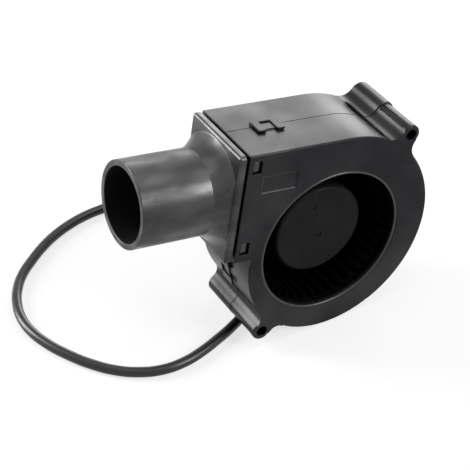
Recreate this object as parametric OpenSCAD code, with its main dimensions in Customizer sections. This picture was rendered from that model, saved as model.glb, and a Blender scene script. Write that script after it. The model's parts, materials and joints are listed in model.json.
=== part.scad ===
// Centrifugal blower with a clip-on round air nozzle, for fanning charcoal.
// The fan's own frame has its origin on the impeller axis at half the depth of the case:
// +X points away from the nozzle, +Y to the back plate and +Z to the flat top.
// placed() stands the fan on its round rim, leaning on the ear that lies on the cord.

/* [Case] */
// Depth of the closed case, front face to back face
case_depth = 31; // [28:0.5:36]
// Depth of the front half, front face to seam
front_depth = 16; // [14:0.5:17]
// Thickness of the side walls
wall = 1.7; // [1.4:0.1:2.2]
// Thickness of the front and back plates
plate = 1.8; // [1.5:0.1:2.4]
// Radius of the scroll round its right side
scroll_r = 37.5; // [36:0.5:44]
// Radius of the scroll's tight lower left quarter
belly_r = 32; // [30:0.5:36]
// Scroll centre from the impeller axis, sideways
scroll_x = 1; // [0:0.25:2]
// Scroll centre from the impeller axis, upwards
scroll_z = 2; // [0:0.25:4]
// Length of the outlet box beyond the scroll's left wall
outlet_len = 6.5; // [6:0.5:12]
// Height of the outlet box
outlet_h = 40; // [36:0.5:44]
// Radius of the rounded edge round the front face
edge_r = 0.6; // [0.3:0.1:1]
// Depth that the back half's inner lip laps into the front half
lap = 1.2; // [0.8:0.1:2]
// Side clearance of that lip
lap_gap = 0.1; // [0.05:0.05:0.2]

/* [Ears] */
// Radius of the ear bosses on the back half
ear_r = 3.4; // [3:0.1:4.2]
// Step from the back half's ear bosses down to the front half's
ear_step = 0.1; // [0.1:0.05:0.4]
// Radius of the screw holes through the ears
ear_hole_r = 2; // [1.5:0.1:2.4]
// Distance of the ear centres outside the scroll
ear_reach = 4.6; // [4:0.1:6]
// Direction of the upper ear from the scroll centre
ear_up_angle = 55.4; // [50:0.2:60]
// Direction of the lower ear from the belly centre
ear_low_angle = 231.7; // [225:0.2:236]
// Hollow fillet beside the upper ear
ear_up_fillet = 5; // [3:0.25:6]
// Hollow fillet beside the lower ear
ear_low_fillet = 4; // [3:0.25:6]
// Width of the rim that the front half's ears have at the seam
ear_rim = 0.7; // [0.4:0.1:1]
// Width of the slim grooves in the front half of the upper ear
ear_groove_w = 0.6; // [0.4:0.1:0.8]
// Growth of the upper ear's boss behind the seam
ear_swell = 0.4; // [0:0.05:0.4]
// Depth of the hollow along the root of the upper ear
leaf_depth = 0.9; // [0.5:0.1:1]
// Width of that hollow
leaf_w = 3.2; // [2.6:0.1:3.6]
// Distance of the hollow from the front face
leaf_front = 1; // [0.8:0.1:2]
// Distance of the hollow from the back face
leaf_back = 4; // [3:0.25:6]

/* [Inlet] */
// Distance that the inlet's edge lies inside the blade tips
inlet_overlap = 1.5; // [1:0.1:3]
// Rounding of the inlet's front edge
inlet_round = 1.4; // [0.8:0.1:1.6]
// Length of the inlet collar behind the front plate
collar_len = 0.6; // [0.4:0.1:0.8]
// Wall of that collar
collar_wall = 1.2; // [0.8:0.1:1.6]

/* [Latches and clips] */
// Width of the latch windows along the outlet
window_w = 3.4; // [3:0.1:4]
// Height of the latch windows
window_h = 4.6; // [4:0.1:6]
// Distance from the outlet's end to the windows
window_in = 1.5; // [1.2:0.1:2]
// Distance of the windows from the outlet's top and bottom
window_edge = 2.4; // [2.2:0.1:4]
// Gap that shows beside and below a barb in its window
window_gap = 1.1; // [0.4:0.05:1.2]
// Sink of the barbs below the outer faces
barb_sink = 0.15; // [0.1:0.05:0.4]
// Width of a seam clip along the case
clip_w = 9.8; // [9:0.2:12]
// Width of one arm of a seam clip
clip_arm = 2.8; // [2:0.1:3.2]
// Height of the clips above the wall
clip_h = 1; // [1:0.1:2]
// Reach of the clip arms in front of the seam
clip_front = 4.1; // [3:0.1:5]
// Reach of the clip behind the seam
clip_back = 2.2; // [1.8:0.1:4]
// Thickness of the bar that joins the two arms
clip_bar = 1; // [0.8:0.1:1.4]
// Clearance under and beside the clip arms
clip_gap = 0.15; // [0.1:0.05:0.3]
// Top clip's distance from the scroll centre
clip_top_at = 23.6; // [20:0.2:26]
// Direction of the clip on the belly from the belly centre
clip_belly_angle = 200; // [195:1:205]
// Direction of the clip on the right side from the scroll centre
clip_right_angle = -38; // [-50:1:-30]

/* [Bare panel] */
// Length of the bare sunk panel on the front face
panel_w = 12.5; // [8:0.5:14]
// Height of the panel
panel_h = 5.6; // [4:0.2:6]
// Distance from the outlet's end to the panel
panel_in = 6.5; // [6:0.5:9]
// Distance from the top of the case down to the panel
panel_down = 8.9; // [8.8:0.1:10]
// Depth of the panel
panel_depth = 0.5; // [0.2:0.05:0.6]

/* [Air nozzle] */
// Outer radius of the round barrel
noz_r = 14.45; // [12:0.05:14.6]
// Wall of the barrel
noz_wall = 2; // [1.4:0.1:2.6]
// Length from the flange's face to the tip
noz_len = 31.3; // [24:0.1:45]
// Length of the flare along the barrel
flare_len = 6.4; // [4:0.1:9]
// Growth of the flare's radius from barrel to flange
flare_rise = 4.05; // [2.5:0.05:4.5]
// Slope at which the flare leaves the barrel
flare_start = 14; // [0:1:20]
// Thickness of the flange
flange_t = 2.5; // [2:0.1:4]
// Corner radius of the flange
flange_round = 1.5; // [0.5:0.1:2]
// Rounding of the flange's outer edges
flange_edge = 1; // [0.4:0.1:1]
// Shadow gap between flange and case
flange_gap = 1.1; // [0.5:0.1:1.5]
// Depth of the spigot inside the outlet
spigot_len = 7; // [6:0.25:8]
// Wall of the spigot
spigot_wall = 1.4; // [1:0.1:1.8]
// Clearance of the spigot in the outlet
spigot_gap = 0.15; // [0.1:0.05:0.3]

/* [Impeller] */
// Gap between blade tips and the scroll's left wall
tip_gap = 1.8; // [1:0.1:3]
// Radial length of the blades
blade_len = 4; // [3:0.25:5]
// Number of blades
blades = 40; // [28:1:44]
// Thickness of a blade
blade_t = 0.7; // [0.5:0.05:0.9]
// Angle that a blade's tip leads its root
blade_lead = 4.5; // [2:0.5:6]
// Gap between the front ring and the front plate
ring_gap = 1.8; // [1.4:0.1:3]
// Thickness of the front ring and of the back disc
ring_t = 1.2; // [0.8:0.1:1.6]
// Radial width of the front ring
ring_w = 1.3; // [1:0.1:2]
// Gap between the back disc and the back plate
disc_gap = 3.8; // [3.4:0.1:5]
// Outer radius of the hub
hub_r = 16.75; // [15.5:0.25:18]
// Depth of the hub's face below the front face
hub_recess = 7.4; // [6.5:0.1:9]
// Wall of the hub cup
hub_wall = 1.4; // [1:0.1:1.8]
// Rounding of the hub's edge
hub_round = 1.3; // [0.5:0.1:2]

/* [Motor] */
// Radius of the shaft
shaft_r = 1.5; // [1.25:0.05:1.6]
// Outer radius of the ball bearings
bearing_r = 4; // [3.8:0.1:4.5]
// Width of the ball bearings
bearing_w = 4; // [3:0.25:4]
// Number of balls in each bearing
balls = 7; // [6:1:7]
// Radius of the balls
ball_r = 0.7; // [0.5:0.05:0.75]
// Running clearance between balls and races
ball_gap = 0.03; // [0.02:0.01:0.05]
// Clearance of a ring on its seat
seat_gap = 0.02; // [0.01:0.01:0.04]
// Wall of the bearing tube
tube_wall = 1; // [0.8:0.1:1.4]
// Thickness of the steel yoke
yoke_t = 0.9; // [0.6:0.1:1.2]
// Thickness of the ring magnet
magnet_t = 2; // [1.6:0.1:2.4]
// Air gap between magnet and core
air_gap = 0.45; // [0.3:0.05:0.6]
// Length of the core's stack
stack_len = 7; // [5:0.25:7.5]
// Width of a core tooth
tooth_w = 3; // [2.4:0.1:3.4]
// Radial depth of the pole shoes
shoe_t = 1.8; // [1.2:0.1:2]
// Opening between two pole shoes
shoe_gap = 2.4; // [1.8:0.1:4]
// Thickness of the insulators beyond the stack
insul_t = 1.4; // [1:0.1:1.5]
// Build of a winding on each side of its tooth
coil_t = 1.4; // [1:0.1:1.5]
// Thickness of the circuit board
board_t = 1; // [0.8:0.1:1.2]
// Gap between the board and the back plate
board_up = 3; // [2.8:0.1:3.2]

/* [Cord and plug] */
// Diameter of the lead
cord_d = 3.6; // [3:0.1:4]
// Gap between the lower ear and the lead under it
cord_gap = 0.1; // [0.05:0.05:0.2]
// Distance of the gland from the impeller axis
gland_at = 11; // [10:0.25:11.5]
// Direction of the gland from the impeller axis
gland_angle = 221; // [210:1:240]
// Radius of the gland's flange
gland_r = 4.2; // [3.8:0.1:5]
// Length of the gland's tapered boot
gland_len = 15; // [10:0.5:20]
// Radius of the coil at the middle of its turns
coil_r = 20; // [18:0.5:21.5]
// Thickness of the tie round the coil
tie_t = 0.5; // [0.3:0.1:0.8]
// Radius of the plug's grip
plug_r = 4.75; // [4:0.25:5.5]
// Length of the plug's grip
plug_len = 18; // [14:0.5:24]
// Length of the plug's tapered boot
boot_len = 7; // [5:0.5:10]
// Radius of the plug's metal sleeve
sleeve_r = 2.75; // [2.5:0.05:3]
// Radius of the plug's centre hole
pin_r = 1.05; // [0.9:0.05:1.3]
// Length of the plug's metal sleeve
sleeve_len = 9.5; // [8:0.5:12]

/* [Hidden] */
$fn = 96;
eps = 0.05;
cut = 1;

// Depths along Y
front_y = -case_depth / 2;
back_y = case_depth / 2;
seam_y = front_y + front_depth;
front_in = front_y + plate;
back_in = back_y - plate;
hub_y = front_y + hub_recess;
disc_back = back_in - disc_gap;
disc_front = disc_back - ring_t;
ring_front = front_in + ring_gap;

// Outline of the case
top_z = scroll_z + scroll_r;
belly_z = scroll_z - scroll_r + belly_r;
left_x = scroll_x - belly_r;
outlet_x = left_x - outlet_len;
outlet_z = top_z - outlet_h;
blade_r = belly_r - scroll_x - wall - tip_gap;
inlet_r = blade_r - inlet_overlap;

// Ears
function at(centre, r, angle) = centre + r * [cos(angle), sin(angle)];
scroll_c = [scroll_x, scroll_z];
belly_c = [scroll_x, belly_z];
ear_up = at(scroll_c, scroll_r + ear_reach, ear_up_angle);
ear_low = at(belly_c, belly_r + ear_reach, ear_low_angle);

// Stance: the rim and the lead under the lower ear carry the fan
lean_a = scroll_x - ear_low[0];
lean_b = scroll_z - ear_low[1];
lean_c = cord_d + cord_gap - (scroll_r - ear_r);
lean = asin(lean_c / norm([lean_a, lean_b])) + atan2(lean_b, lean_a);
noz_z = (top_z + outlet_z) / 2;
flange_back = outlet_x - flange_gap;
flange_face = flange_back - flange_t;
tip_x = flange_face - noz_len;
reach_left = cos(lean) * tip_x + sin(lean) * (noz_z - noz_r);
reach_right = cos(lean) * scroll_x + sin(lean) * scroll_z + scroll_r;
stand_x = -(reach_left + reach_right) / 2;
stand_z = scroll_r + sin(lean) * scroll_x - cos(lean) * scroll_z;
function stand(p) = [
    cos(lean) * p[0] + sin(lean) * p[2] + stand_x,
    p[1],
    -sin(lean) * p[0] + cos(lean) * p[2] + stand_z
];

// Motor: radii from the hub inwards
yoke_r = hub_r - hub_wall;
magnet_r = yoke_r - yoke_t;
core_r = magnet_r - magnet_t - air_gap;
tube_in = bearing_r + seat_gap;
tube_r = tube_in + tube_wall;
boss_r = 2.6;
pedestal_r = 7.4;

// Motor: gaps of the yoke to the disc, the magnet to the yoke's rim, the windings to the board,
// the tube to the yoke and the shaft to the tube's end, and the plate left behind the tube
yoke_clear = 0.4;
magnet_sink = 0.6;
coil_clear = 0.6;
tube_clear = 1.5;
shaft_clear = 0.8;
tube_floor = 1;

// Motor: depths
board_back = back_in - board_up;
board_front = board_back - board_t;
yoke_front = hub_y + hub_wall;
yoke_back = disc_front - yoke_clear;
coil_back = board_front - coil_clear;
core_back = coil_back - coil_t - insul_t;
core_front = core_back - stack_len;
tube_front = yoke_front + yoke_t + tube_clear;
tube_back = back_y - tube_floor;
shaft_back = tube_back - shaft_clear;

// Bearings: the shoulder between them in the tube, their sink in it and the walls of their rings
tube_step = 0.8;
bearing_sink = 0.2;
front_bearing_y = tube_front + bearing_sink;
race_mid = (shaft_r + bearing_r) / 2;
race_wall = 0.45;

// Washer and clip behind the rear bearing, and the end of the shaft past the clip
washer_t = 0.4;
washer_lap = 0.1;
washer_r = race_mid - race_wall + washer_lap;
clip_t = 0.4;
clip_rim = 0.4;
clip_groove = 0.3;
clip_groove_r = shaft_r - clip_groove;
shaft_end = 1.2;
clip_y = shaft_back - shaft_end;
rear_bearing_y = clip_y - washer_t - bearing_w;

// Core: its ring, its teeth's sink in the shoes, the insulators' step behind the shoes, and the
// gaps of the windings to the insulators, the ring and the shoes
core_ring = 1.8;
tooth_sink = 0.5;
insul_in = 0.4;
coil_gap = 0.1;
coil_ring_gap = 0.3;
coil_shoe_gap = 0.2;

// Board, and the parts on it: radius and direction of their middle, then their own sizes
board_rim = 1.4;
board_r = core_r + board_rim;
board_gap = 0.2;
chip_at = [10.4, 20];
chip_size = [3.9, 1.5, 4.9];
hall_angle = 45;
hall_in = 0.2;
hall_size = [1.5, 0.9, 3];
cap_at = [10.6, 120];
cap_r = 1.6;
cap_h = 2.3;

// Gland and the two wires that come through its neck
gland = at([0, 0], gland_at, gland_angle);
gland_flange = 1.2;
neck_r = 3;
neck_in = 0.6;
boot_wall = 0.4;
boot_rise = 0.3;
wire_r = 0.5;
wire_at = 1;

// Plug: the step behind its grip, the ribs of the grip, and the sleeve round the insulator
plug_step = 1.2;
grip_rib = 1.2;
grip_ribs = 5;
grip_start = 3;
grip_depth = 0.4;
sleeve_wall = 0.5;
sleeve_lip = 0.4;

// Cord: points of the loose stretches, on the floor unless a height is given
cord_r = cord_d / 2;
function floor_points(list) = [for (p = list) [p[0], p[1], len(p) > 2 ? p[2] : cord_r]];
gland_tip = stand([gland[0], back_y + gland_len, gland[1]]);
coil_c = [34, 46];
tie_w = 4;
tie_gap = 0.1;
coil_lift = 0.15;
coil_z = tie_t + coil_lift;
plug_y = 50;
plug_x = 62.6;
cord_route = concat(
    [gland_tip, gland_tip + [0, 7, 0]],
    floor_points([
        [6, 44, 28.5], [4.5, 51, 26], [2, 58, 21.5], [-1, 64.5, 16], [-5, 70.5, 10.5],
        [-10, 75.5, 6], [-16.5, 79.2, 3], [-24, 80.6], [-31.5, 79.8], [-39, 77.7],
        [-46.5, 74.4], [-53.5, 70], [-60, 64.8], [-66, 59.2], [-70.8, 52.6], [-74.2, 45.2],
        [-76, 37.2], [-75.9, 29], [-73.6, 20], [-69.8, 11.5], [-65.2, 3.8], [-59.5, -3],
        [-53, -7.8], [-45.5, -10.6], [-37.5, -10.8], [-29.6, -9], [-22, -6.2], [-15, -3.2],
        [-8.6, 0.6], [-4, 6], [-0.9, 12.4], [3.2, 18.4], [9.2, 22.4], [16.4, 24.2],
        [24, 24.6], [31, 24.4]
    ])
);
tail_route = floor_points([
    [44.9, 27.1, 5.95], [52.2, 31.6, 5.8], [58, 36.6, 5.4], [61.6, 42.6, 5],
    [62.6, 48, plug_r], [plug_x, plug_y, plug_r]
]);

// Stands a piece drawn in the fan's frame on the floor
module placed() {
    translate([stand_x, 0, stand_z]) rotate([0, lean, 0]) children();
}

// Extrudes a drawing in X and Z from depth y0 to depth y1
module slab(y0, y1) {
    translate([0, y1, 0]) rotate([90, 0, 0]) linear_extrude(y1 - y0) children();
}

// Turns a drawing in radius and depth round the impeller axis
module turned() {
    rotate([-90, 0, 0]) rotate_extrude() children();
}

// Rod along the impeller axis
module rod(r, y0, y1) {
    translate([0, y0, 0]) rotate([-90, 0, 0]) cylinder(r = r, h = y1 - y0);
}

// Rectangle from one corner to the other
module rect(a, b) {
    translate(a) square(b - a);
}

// Ring drawing in radius and depth
module band(r0, r1, y0, y1) {
    rect([r0, y0], [r1, y1]);
}

// Outline of the case, drawn inwards by inset, with its outlet closed or open
module outline(inset, open_end = false) {
    intersection() {
        translate(scroll_c) circle(scroll_r - inset);
        rect([scroll_x, scroll_z - scroll_r], [scroll_x + scroll_r, top_z]);
    }
    intersection() {
        translate(belly_c) circle(belly_r - inset);
        rect([left_x, belly_z - belly_r], [scroll_x, belly_z]);
    }
    rect([left_x + inset, belly_z], [scroll_x, top_z - inset]);
    rect([outlet_x + (open_end ? -cut : inset), outlet_z + inset], [scroll_x, top_z - inset]);
}

// Centre of a fillet of radius f that touches two circles, on the side given by turn
function fillet_centre(c1, r1, c2, r2, f, turn) =
    let (
        v = c2 - c1,
        d = norm(v),
        a = r1 + f,
        b = r2 + f,
        open = acos((a * a + d * d - b * b) / (2 * a * d))
    )
    at(c1, a, atan2(v[1], v[0]) + turn * open);

// The fillets bite this little into the boss and the wall, so that no sliver is left between them
fillet_bite = 0.005;

// Ear boss and its web, blended into the round wall of radius r about c
module ear(c, r, e, boss, f) {
    left = fillet_centre(c, r, e, boss, f, 1);
    right = fillet_centre(c, r, e, boss, f, -1);
    translate(e) circle(boss);
    difference() {
        polygon([at(c, r - wall / 2, atan2(left[1] - c[1], left[0] - c[0])), left, e, right,
                 at(c, r - wall / 2, atan2(right[1] - c[1], right[0] - c[0]))]);
        translate(left) circle(f + fillet_bite);
        translate(right) circle(f + fillet_bite);
        translate(c) circle(r - wall / 2);
    }
}

module ears(step, swell = 0) {
    ear(scroll_c, scroll_r, ear_up, ear_r - step + swell, ear_up_fillet);
    ear(belly_c, belly_r, ear_low, ear_r - step, ear_low_fillet);
}

module ear_holes() {
    for (e = [ear_up, ear_low])
        translate([e[0], 0, e[1]]) rod(ear_hole_r, front_y - cut, back_y + cut);
}

// Takes a round off the edge of a plate whose face is at depth 0 and lies towards -Y
module edge_profile(r) {
    difference() {
        rect([-r, -cut], [cut, r]);
        translate([-r, r]) circle(r);
    }
}

module arc_edge(c, r, from, sweep, round_r) {
    translate([c[0], 0, c[1]]) rotate([-90, 0, 0]) rotate([0, 0, -from - sweep])
        rotate_extrude(angle = sweep) translate([r, 0]) edge_profile(round_r);
}

// Rounded edge of an ear's plate, round its boss from one fillet to the other
function direction(from, to) = atan2(to[1] - from[1], to[0] - from[0]);
module boss_edge(c, r, e, boss, f) {
    from = direction(e, fillet_centre(c, r, e, boss, f, -1));
    to = direction(e, fillet_centre(c, r, e, boss, f, 1));
    arc_edge(e, boss, from, (to - from + 720) % 360, edge_r);
}

// Rounded outer edge of a face, along the top and the round walls
module face_edges() {
    arc_edge(scroll_c, scroll_r, -90, 180, edge_r);
    arc_edge(belly_c, belly_r, 180, 90, edge_r);
    translate([outlet_x - cut, 0, top_z]) rotate([90, 0, 90])
        linear_extrude(scroll_x - outlet_x + cut) mirror([1, -1]) edge_profile(edge_r);
}

// Window for one barb, drawn in X and Z with its lower corner given
window_x = outlet_x + window_in;
window_zs = [outlet_z + window_edge, top_z - window_edge - window_h];
module windows() {
    for (z = window_zs) rect([window_x, z], [window_x + window_w, z + window_h]);
}

// Places a seam clip on the top or on a round wall: X along the wall, Z outwards
module clip_places() {
    translate([scroll_x - clip_top_at, seam_y, top_z]) children();
    translate([belly_c[0], seam_y, belly_c[1]]) rotate([0, 90 - clip_belly_angle, 0])
        translate([0, 0, belly_r]) children();
    translate([scroll_c[0], seam_y, scroll_c[1]]) rotate([0, 90 - clip_right_angle, 0])
        translate([0, 0, scroll_r]) children();
}

// Block from corner to corner
module block(a, b) {
    translate(a) cube(b - a);
}

// The drop below the tangent plane that a clip's foot needs to meet a round wall
clip_drop = 0.6;
// The tongue starts behind the arms' ends, lies lower than they do and leaves a gap at the bar
tongue_in = 1.2;
tongue_drop = 0.5;
tongue_gap = 0.5;

// Back half's part of a seam clip: a fork whose arms reach over the front half
module clip_fork() {
    half = clip_w / 2;
    for (side = [0, 1]) mirror([side, 0, 0])
        block([half - clip_arm, -clip_front, clip_gap], [half, clip_back, clip_h]);
    block([-half, clip_back - clip_bar, -clip_drop], [half, clip_back, clip_h]);
    for (side = [0, 1]) mirror([side, 0, 0])
        block([half - clip_arm, 0, -clip_drop], [half, clip_back, clip_gap]);
}

// Front half's part of a seam clip: a tongue between the arms
module clip_tongue() {
    half = clip_w / 2 - clip_arm - clip_gap;
    lid = clip_h - tongue_drop;
    block([-half, tongue_in - clip_front, -clip_drop], [half, 0, lid]);
    block([-half, 0, clip_gap], [half, clip_back - clip_bar - tongue_gap, lid]);
}

// Slim grooves along the front half of the upper ear, on its scroll side
ear_groove_angles = [112, 140];
module ear_grooves() {
    for (a = ear_groove_angles)
        translate([ear_up[0], 0, ear_up[1]]) rotate([0, 90 - a, 0])
            block([-ear_groove_w / 2, front_in + ear_groove_w / 2, ear_r - ear_step - ear_groove_w],
                  [ear_groove_w / 2, seam_y - ear_rim, ear_r + cut]);
}

// Leaf-shaped hollow along the root of the upper ear; its points are shares of its width and length
leaf_shape = [
    [0.125, 0], [0.34, 0.16], [0.41, 0.92], [0.125, 1],
    [-0.44, 0.8], [-0.59, 0.69], [-0.47, 0.6], [-0.47, 0.064]
];
module ear_leaf() {
    root = fillet_centre(scroll_c, scroll_r, ear_up, ear_r, ear_up_fillet, 1) - scroll_c;
    leaf_len = case_depth - leaf_front - leaf_back;
    translate([scroll_x, front_y + leaf_front, scroll_z])
        rotate([0, 90 - atan2(root[1], root[0]), 0])
            translate([0, 0, scroll_r - leaf_depth]) linear_extrude(ear_reach)
                polygon([for (p = leaf_shape) [p[0] * leaf_w, p[1] * leaf_len]]);
}

// Section of the bare panel, sunk from depth 0, with sides that slope at 45 degrees
module panel_section(length) {
    edge = panel_depth + cut;
    polygon([[-edge, -cut], [length + edge, -cut], [length, panel_depth], [0, panel_depth]]);
}

module sunk_panel() {
    edge = panel_depth + cut;
    translate([outlet_x + panel_in, front_y, top_z - panel_down - panel_h]) intersection() {
        translate([0, 0, -edge]) linear_extrude(panel_h + 2 * edge) panel_section(panel_w);
        translate([-edge, 0, 0]) rotate([90, 0, 90]) linear_extrude(panel_w + 2 * edge)
            mirror([1, -1]) panel_section(panel_h);
    }
}

module front_cover() {
    color("#2b2b2d") placed() difference() {
        union() {
            difference() {
                slab(front_y, seam_y) outline(0);
                translate([0, front_y, 0]) face_edges();
            }
            slab(front_y + edge_r, seam_y) ears(ear_step);
            slab(seam_y - ear_rim, seam_y) ears(0);
            difference() {
                slab(front_y, front_in) ears(0);
                translate([0, front_y, 0]) {
                    boss_edge(scroll_c, scroll_r, ear_up, ear_r, ear_up_fillet);
                    boss_edge(belly_c, belly_r, ear_low, ear_r, ear_low_fillet);
                }
            }
            clip_places() clip_tongue();
        }
        slab(front_in, seam_y + clip_back) outline(wall, true);
        slab(seam_y - lap, seam_y + eps) difference() {
            outline(wall / 2);
            outline(wall, true);
        }
        rod(inlet_r, front_y - cut, front_in + cut);
        translate([0, front_y, 0]) turned()
            translate([inlet_r, 0]) mirror([1, 0]) edge_profile(inlet_round);
        slab(front_y - cut, front_in + eps) windows();
        sunk_panel();
        ear_holes();
        ear_grooves();
        ear_leaf();
    }
    color("#2b2b2d") placed()
        turned() band(inlet_r, inlet_r + collar_wall, front_in, front_in + collar_len);
}

module rear_housing() {
    color("#29292b") placed() difference() {
        union() {
            difference() {
                slab(seam_y, back_y) outline(0);
                translate([0, back_y, 0]) mirror([0, 1, 0]) face_edges();
            }
            slab(seam_y, back_y) ears(0, ear_swell);
            clip_places() clip_fork();
        }
        slab(seam_y - cut, back_in) outline(wall, true);
        slab(back_in - eps, back_y + cut) windows();
        rod(tube_r, back_in - cut, tube_back);
        translate([gland[0], 0, gland[1]]) rod(neck_r + eps, back_in - cut, back_y + cut);
        ear_holes();
        ear_leaf();
    }
    color("#29292b") placed() {
        slab(seam_y - lap + lap_gap, seam_y + eps) difference() {
            outline(wall / 2 + lap_gap);
            outline(wall, true);
        }
        turned() band(tube_r, pedestal_r, board_back, back_in);
    }
}

// Hollow arc of the flare, from its start slope to the slope that its rise and length give
flare_end = 2 * atan(flare_rise / flare_len) - flare_start;
flare_r = flare_len / (sin(flare_end) - sin(flare_start));

// Profile of the nozzle's round body in radius and distance to the left of the axis
module nozzle_profile(r) {
    start = flare_len - flange_face;
    rect([0, -flange_face], [r, -tip_x]);
    difference() {
        rect([0, -flange_face - eps], [r + flare_rise, start]);
        translate([r, start] + flare_r * [cos(flare_start), sin(flare_start)]) circle(flare_r);
    }
}

module along_nozzle() {
    translate([0, 0, noz_z]) rotate([0, -90, 0]) children();
}

// Rectangle with round corners, centred
module soft_rect(size, r) {
    square(size - [2 * r, 0], center = true);
    square(size - [0, 2 * r], center = true);
    for (x = [-1, 1]) for (y = [-1, 1])
        translate([x * (size[0] / 2 - r), y * (size[1] / 2 - r)]) circle(r);
}

// Takes the rounds off the four outer edges of the flange's face
module flange_edges() {
    for (a = [0:90:270])
        rotate(a) translate([(a % 180 == 0 ? outlet_h : case_depth) / 2, 0, -flange_face])
            rotate([-90, 0, 0]) linear_extrude(outlet_h + 2 * cut, center = true)
                edge_profile(flange_edge);
}

module air_nozzle() {
    flat = 2 * noz_r;
    spigot_h = outlet_h - 2 * wall - 2 * spigot_gap;
    spigot_w = case_depth - 2 * plate - 2 * spigot_gap;
    barb_x = window_x + spigot_gap;
    barb_w = window_w - window_gap - spigot_gap;
    barb_h = window_h - window_gap - spigot_gap;
    color("#2d2d2f") placed() difference() {
        union() {
            intersection() {
                along_nozzle() rotate_extrude() nozzle_profile(noz_r);
                block([tip_x - cut, -flat / 2, noz_z - outlet_h],
                      [flange_face + eps, flat / 2, noz_z + outlet_h]);
            }
            along_nozzle() difference() {
                translate([0, 0, -flange_back])
                    linear_extrude(flange_t) soft_rect([outlet_h, case_depth], flange_round);
                flange_edges();
            }
            along_nozzle() translate([0, 0, -flange_back - flange_gap - spigot_len])
                linear_extrude(flange_gap + spigot_len + eps)
                    square([spigot_h, spigot_w], center = true);
            for (side = [0, 1]) mirror([0, side, 0]) for (z = window_zs)
                block([barb_x, -case_depth / 2 + barb_sink, z + window_gap],
                      [barb_x + barb_w, -spigot_w / 2 + eps, z + window_gap + barb_h]);
        }
        along_nozzle() translate([0, 0, -flange_back]) mirror([0, 0, 1]) translate([0, 0, -eps])
            linear_extrude(flange_gap + spigot_len + cut)
                square([spigot_h - 2 * spigot_wall, spigot_w - 2 * spigot_wall], center = true);
        along_nozzle() translate([0, 0, -flange_back - eps])
            cylinder(r = noz_r - noz_wall, h = flange_back - tip_x + cut);
        intersection() {
            along_nozzle() rotate_extrude() nozzle_profile(noz_r - noz_wall);
            block([flange_face - flare_len, -flat / 2 + noz_wall, noz_z - outlet_h],
                  [flange_face + eps, flat / 2 - noz_wall, noz_z + outlet_h]);
        }
        along_nozzle() translate([0, 0, -flange_back - eps]) linear_extrude(flange_t + 2 * eps)
            intersection() {
                circle(noz_r - noz_wall + flare_rise);
                square([outlet_h, flat - 2 * noz_wall], center = true);
            }
    }
}

// Curved blade in X and Z: its camber line leads by blade_lead from root to tip
blade_steps = 5;
blade_root = blade_r - blade_len;
function camber(t) = at([0, 0], blade_root + t * blade_len, blade_lead * pow(t, 1.7));
function camber_side(t, side) =
    let (v = camber(t + 0.01) - camber(t - 0.01))
    camber(t) + side * blade_t / 2 * [-v[1], v[0]] / norm(v);
module blade() {
    polygon(concat(
        [for (i = [0:blade_steps]) camber_side(max(i / blade_steps, 0.02), 1)],
        [for (i = [blade_steps:-1:0]) camber_side(max(i / blade_steps, 0.02), -1)]
    ));
}

// Moulding marks on the hub's face: share of its radius, direction and share that a pip fills
hub_marks = [[0.147, -77, 0.5], [0.585, 112, 0.2]];
mark_r = 0.9;
mark_depth = 0.3;

module impeller() {
    color("#222224") placed() difference() {
        union() {
            turned() {
                difference() {
                    union() {
                        band(0, hub_r - hub_round, hub_y, disc_back);
                        band(0, hub_r, hub_y + hub_round, disc_back);
                        translate([hub_r - hub_round, hub_y + hub_round]) circle(hub_round);
                    }
                    band(boss_r, yoke_r, yoke_front, disc_back + cut);
                    band(-cut, boss_r + eps, front_bearing_y, disc_back + cut);
                    band(-cut, shaft_r, yoke_front, front_bearing_y + eps);
                    rect([-2 * hub_r, hub_y - cut], [0, disc_back + cut]);
                }
                band(hub_r - eps, blade_r, disc_front, disc_back);
                band(blade_r - ring_w, blade_r, ring_front, ring_front + ring_t);
            }
            slab(ring_front, disc_front + eps)
                intersection() {
                    circle(blade_r);
                    for (i = [0:blades - 1]) rotate(360 * i / blades) blade();
                }
        }
        for (m = hub_marks) rotate([0, -m[1], 0]) translate([m[0] * hub_r, 0, 0]) difference() {
            rod(mark_r, hub_y - cut, hub_y + mark_depth);
            rod(mark_r * m[2], hub_y, hub_y + mark_depth + cut);
        }
    }
}

module rotor_yoke() {
    color("#9a9ca0") placed() turned() {
        band(boss_r, yoke_r, yoke_front, yoke_front + yoke_t);
        band(yoke_r - yoke_t, yoke_r, yoke_front, yoke_back);
    }
}

module magnet_ring() {
    color("#3a3735") placed() turned()
        band(magnet_r - magnet_t, magnet_r, yoke_front + yoke_t, yoke_back - magnet_sink);
}

module rotor_shaft() {
    color("#c8cacd") placed() difference() {
        rod(shaft_r, yoke_front, shaft_back);
        turned() band(clip_groove_r, shaft_r + cut, clip_y, clip_y + clip_t);
    }
}

module bearing_tube() {
    color("#b8973f") placed() difference() {
        rod(tube_r, tube_front, tube_back);
        rod(tube_in, tube_front - cut, front_bearing_y + bearing_w);
        rod(tube_in - tube_step, tube_front, tube_back + cut);
        rod(tube_in, rear_bearing_y, tube_back + cut);
    }
}

bearing_ys = [front_bearing_y, rear_bearing_y];

// Race drawing with the track for the balls cut into it
module race(r0, r1, y) {
    difference() {
        band(r0, r1, y, y + bearing_w);
        translate([race_mid, y + bearing_w / 2]) circle(ball_r + ball_gap);
    }
}

module bearing_outer_rings() {
    color("#b9bcc0") placed() turned()
        for (y = bearing_ys) race(race_mid + race_wall, bearing_r, y);
}

module bearing_inner_rings() {
    color("#b9bcc0") placed() turned()
        for (y = bearing_ys) race(shaft_r + seat_gap, race_mid - race_wall, y);
}

module bearing_balls() {
    color("#d8dade") placed() for (y = bearing_ys) for (i = [0:balls - 1])
        rotate([0, 360 * i / balls, 0]) translate([race_mid, y + bearing_w / 2, 0]) sphere(ball_r);
}

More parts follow.
